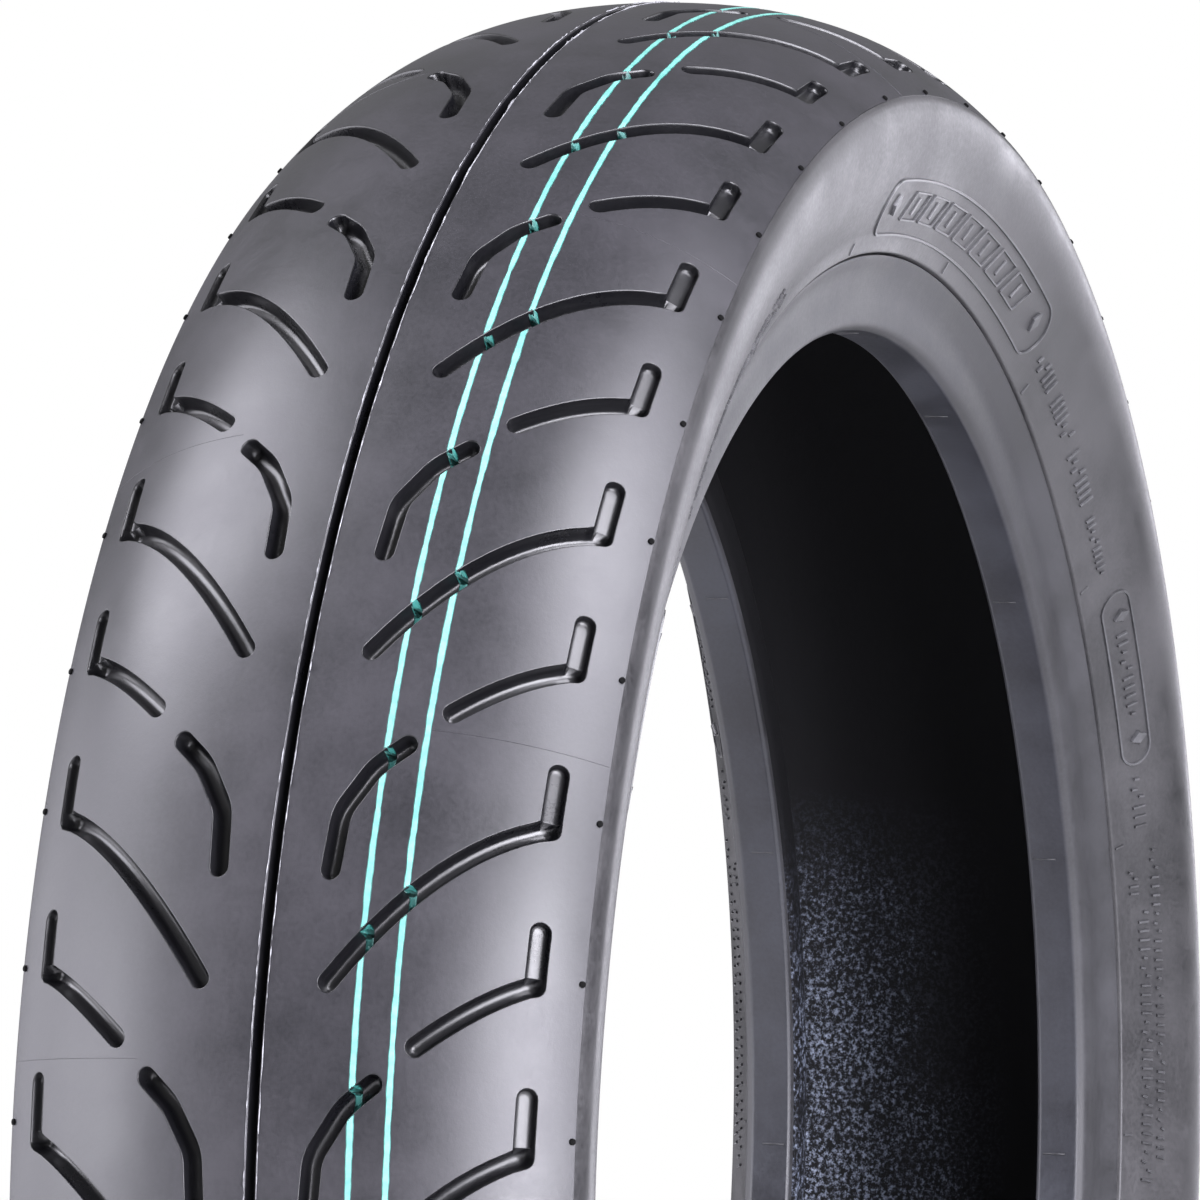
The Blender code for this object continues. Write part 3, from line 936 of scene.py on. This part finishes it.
# the flash's pale colour is a painted highlight
flashes = [(*flash_line(side * LIP_ACROSS), False) for side in (1, -1)]
pips = []
seams = []
for side in (1, -1):
    for turn in range(2 * PITCHES):
        pip_place = PATTERN_PHASE + PITCH_DEGREES * (turn // 2) + PIP_DEGREES[turn % 2]
        pips.append((*crown_nub(PIP_ACROSS, pip_place, 0.75 * MM, 0.6 * MM, side), side < 0))
    for turn in range(side < 0, PITCHES, 2):
        seam_place = PATTERN_PHASE + PITCH_TOP + PITCH_DEGREES * turn
        seams.append((*mould_line(30 * MM, 68 * MM, seam_place, side), side < 0))
for name, shapes, look in (("tread_vent_pips", pips, pip_shade_look), ("tread_mould_seams", seams, tread_look),
                           ("centre_groove_flash", flashes, flash_highlight_look)):
    piece = joined_piece(name, shapes, look)
    piece.data.set_sharp_from_angle(angle=math.radians(50))
    finish_piece(piece, "tread_rubber")


# ---------------- relief on the sidewalls

SIDE_LINE = OUTER + FLANK


def side_place(radius, degrees, height, side):
    """A point on the sidewall at a distance from the axle, raised by a height along the surface's normal."""
    for (a0, r0), (a1, r1) in zip(SIDE_LINE, SIDE_LINE[1:]):
        if r1 <= radius <= r0:
            share = (r0 - radius) / max(r0 - r1, 1e-9)
            length = math.hypot(a1 - a0, r1 - r0)
            across = a0 + (a1 - a0) * share + height * (r0 - r1) / length
            return Vector(spin_point(side * across, radius + height * (a1 - a0) / length, degrees))
    raise ValueError(radius)


def ridge(path, widths, height, side):
    """A raised ridge along a path of (radius, degrees) with bevelled edges: its vertices and faces."""
    vertices = []
    sink = 0.25 * MM
    levels = [(1.0, -sink), (1.0, 0.45 * height), (0.72, height)]
    levels += [(-share, level) for share, level in reversed(levels)]
    for i, (radius, degrees) in enumerate(path):
        before = path[max(i - 1, 0)]
        after = path[min(i + 1, len(path) - 1)]
        along = (after[0] - before[0], math.radians(after[1] - before[1]) * radius)
        length = math.hypot(*along)
        for share, level in levels:
            reach = 0.5 * widths[i] * share / length
            vertices.append(side_place(
                radius - along[1] * reach, degrees + math.degrees(along[0] * reach / radius), level, side))
    count = len(levels)
    faces = []
    for i in range(len(path) - 1):
        for j in range(count):
            k = (j + 1) % count
            faces.append((i * count + j, i * count + k, (i + 1) * count + k, (i + 1) * count + j))
    end = (len(path) - 1) * count
    faces += [tuple(range(count))[::-1], tuple(range(end, end + count))]
    return vertices, faces


def arc(radius, start, end):
    steps = max(2, int(abs(end - start) / 0.7))
    return [(radius, start + (end - start) * i / steps) for i in range(steps + 1)]


def panel_path(low, high, start, end):
    """Outline of a blank label panel: two arcs joined by round ends."""
    middle = (low + high) / 2
    reach = (high - low) / 2
    path = arc(high, start, end)
    for centre, first in ((end, 90), (start, 270)):
        for k in range(1, 12):
            angle = math.radians(first - 180 * k / 12)
            turn = math.degrees(reach * math.cos(angle) / middle)
            path.append((middle + reach * math.sin(angle), centre + turn))
        if centre == end:
            path += arc(low, end, start)
    return path + [path[0]]


# Bars of the rows, as shares of the half height: whole, upper, lower and middle ones
BAR_SPANS = [(-1.0, 1.0), (-1.0, 1.0), (0.1, 1.0), (-1.0, 1.0), (-1.0, -0.1), (-1.0, 1.0), (-0.4, 0.4)]


def relief_shapes():
    """Every raised mark of one sidewall: (path, widths, height)."""
    shapes = []
    line = 0.7 * MM

    def add(path, width, height=0.35 * MM):
        shapes.append((path, [width] * len(path), height))
    # short ticks across the rim line
    for turn in range(18):
        centre = 19.4 + 20 * turn
        add([(0.2385, centre), (0.2415, centre)], 0.6 * MM)
    # two blank panels, one of them filled with outlined blocks, and diamonds at their ends, three times round
    for turn in range(3):
        base = 120 * turn
        add(panel_path(0.2424, 0.2562, base + 83.6, base + 115.4), line, 0.5 * MM)
        add(panel_path(0.2440, 0.2540, base + 142.5, base + 153.0), line, 0.5 * MM)
        for k in range(7):
            low, high = base + 86.9 + 3.7 * k, base + 89.7 + 3.7 * k
            block = [(0.2462, low - 0.4), (0.2532, low + 0.4), (0.2532, high + 0.4), (0.2462, high - 0.4)]
            add(block + [block[0]], 0.55 * MM, 0.5 * MM)
            add([(0.2476, low + 1.25), (0.2518, low + 1.55)], 0.9 * MM, 0.5 * MM)
        for centre in (base + 84.2, base + 115.0, base + 143.2, base + 152.4):
            diamond = [(0.2474, centre), (0.2500, centre), (0.2526, centre)]
            shapes.append((diamond, [0.3 * MM, 4.4 * MM, 0.3 * MM], 0.9 * MM))
        # rows of plain bars: (distance from the axle, first degree, how many, half height in mm, pitch)
        for radius, first, number, tall, pitch in (
                (0.2472, base + 118.6, 6, 2.2, 0.62), (0.2470, base + 123.2, 7, 2.2, 0.62),
                (0.2468, base + 128.6, 8, 2.2, 0.62), (0.2466, base + 134.6, 10, 1.4, 0.50),
                (0.2492, base + 144.6, 10, 1.8, 0.66), (0.2478, base + 155.2, 6, 2.0, 0.66),
                (0.2440, base + 161.5, 4, 1.4, 0.5), (0.2466, base + 164.5, 30, 1.7, 0.62),
                (0.2514, base + 160.5, 34, 1.3, 0.62)):
            for k in range(number):
                low_share, high_share = BAR_SPANS[(k * 5 + number) % len(BAR_SPANS)]
                centre = first + k * pitch
                foot = (radius + low_share * tall * MM, centre - 0.06)
                head = (radius + high_share * tall * MM, centre + 0.06)
                add([foot, head], 0.75 * MM, 0.60 * MM)
    return shapes


for side, word in ((1, "left"), (-1, "right")):
    raised = [(*ridge(path, widths, height, side), side < 0) for path, widths, height in relief_shapes()]
    piece = joined_piece("sidewall_relief_" + word, raised, relief_look)
    piece.data.set_sharp_from_angle(angle=math.radians(40))
    finish_piece(piece, "sidewall_rubber")

# Vent ticks across the bead seats
TICK_PROFILE = ((-0.10, -0.1 * MM), (0.0, 0.28 * MM), (0.10, -0.1 * MM))  # (degrees, height)
for side, word in ((1, "left"), (-1, "right")):
    ticks = []
    for turn in range(16):
        centre = 22.5 * turn + 0.7
        points = []
        for across in (0.0385, 0.0420, 0.0450):
            for turned_by, lift in TICK_PROFILE:
                points.append(Vector(spin_point(side * across, SEAT_RADIUS - lift, centre + turned_by)))
        tick_faces = [(3 * i + j, 3 * i + (j + 1) % 3, 3 * i + 3 + (j + 1) % 3, 3 * i + 3 + j)
                      for i in range(2) for j in range(3)] + [(2, 1, 0), (6, 7, 8)]
        ticks.append((points, tick_faces, side > 0))
    finish_piece(joined_piece("bead_seat_ticks_" + word, ticks, cushion_look), "sidewall_rubber")


# ---------------- studio and camera

LIGHT_DISTANCE = 2.6
LIGHT_COLOUR = (0.92, 0.91, 1.0)
SKY_LEVEL = 0.35


def softbox(name, azimuth, elevation, size, power):
    """A soft light aimed at the tyre's centre; azimuth 0 is the -X side and 90 the +Y side."""
    turn, rise = math.radians(azimuth), math.radians(elevation)
    out = (-math.cos(turn) * math.cos(rise), math.sin(turn) * math.cos(rise), math.sin(rise))
    data = bpy.data.lights.new(name, "AREA")
    data.shape = "RECTANGLE"
    data.size, data.size_y = size
    data.energy = power
    data.color = LIGHT_COLOUR
    lamp = bpy.data.objects.new(name, data)
    lamp.location = [LIGHT_DISTANCE * k for k in out]
    lamp.rotation_euler = (Vector((0, 0, 0)) - lamp.location).to_track_quat("-Z", "Y").to_euler()
    bpy.context.scene.collection.objects.link(lamp)


scene = bpy.context.scene
world = bpy.data.worlds.new("studio")
scene.world = world
world.use_nodes = True
world_nodes = world.node_tree.nodes
world_links = world.node_tree.links
background = next(n for n in world_nodes if n.type == "BACKGROUND")
background.inputs["Color"].default_value = (1, 1, 1, 1)
# The sky lights the tyre with more from above, and the camera sees it white
sky_place = world_nodes.new("ShaderNodeSeparateXYZ")
world_links.new(world_nodes.new("ShaderNodeTexCoord").outputs["Generated"], sky_place.inputs["Vector"])
sky = spread(world_nodes, world_links, sky_place.outputs["Z"], 0.03, SKY_LEVEL, (-0.15, 0.45))
light_path = world_nodes.new("ShaderNodeLightPath")
level = world_nodes.new("ShaderNodeMix")
world_links.new(light_path.outputs["Is Camera Ray"], level.inputs["Factor"])
world_links.new(sky, level.inputs["A"])
level.inputs["B"].default_value = 1.0
world_links.new(level.outputs["Result"], background.inputs["Strength"])

floor_mesh = bpy.data.meshes.new("floor")
FLOOR_HALF = 3
floor_corners = [(FLOOR_HALF * x, FLOOR_HALF * y, 0) for x, y in ((-1, -1), (1, -1), (1, 1), (-1, 1))]
floor_mesh.from_pydata(floor_corners, [], [(0, 1, 2, 3)])
floor = bpy.data.objects.new("floor", floor_mesh)
floor.location.z = -RADIUS - 0.5 * MM
scene.collection.objects.link(floor)
floor_look, nodes, links, shader, place = new_look("floor", 0.9)
paint(nodes, links, shader, noise_field(nodes, links, place, 3.0),
      [(0.3, (0.80, 0.80, 0.80)), (0.7, (0.84, 0.84, 0.84))])
floor_mesh.materials.append(floor_look)
floor.is_shadow_catcher = True

softbox("left_front_box", 50, 0, (0.8, 2.0), 56)
softbox("left_box", 70, 0, (0.9, 2.0), 42)
softbox("left_back_box", 96, 0, (1.2, 2.0), 31)
softbox("left_top_box", 70, 45, (1.4, 1.4), 80)
softbox("right_top_box", -70, 45, (1.4, 1.4), 124)
softbox("right_front_box", -38, 0, (0.6, 2.0), 82)
softbox("right_box", -54, 0, (0.6, 2.0), 158)
softbox("right_back_box", -166, 2, (0.5, 1.6), 15)
softbox("right_back_top_box", -157, 17, (1.0, 1.0), 5)

camera_data = bpy.data.cameras.new("camera")
camera_data.sensor_width = 36.0
camera_data.lens = 241.28
camera_data.clip_end = 20.0
camera = bpy.data.objects.new("camera", camera_data)
scene.collection.objects.link(camera)
scene.camera = camera
CAMERA_PLACE = Vector((-1.9834, -0.6545, 0.1022))
CAMERA_AIM = Vector((-0.0101, 0.0197, 0.1474))
CAMERA_ROLL = 1.157
facing = (CAMERA_AIM - CAMERA_PLACE).to_track_quat("-Z", "Y").to_matrix().to_4x4()
rolled = Matrix.Rotation(math.radians(CAMERA_ROLL), 4, "Z")
camera.matrix_world = Matrix.Translation(CAMERA_PLACE) @ facing @ rolled

scene.view_settings.view_transform = "Standard"
scene.view_settings.look = "None"
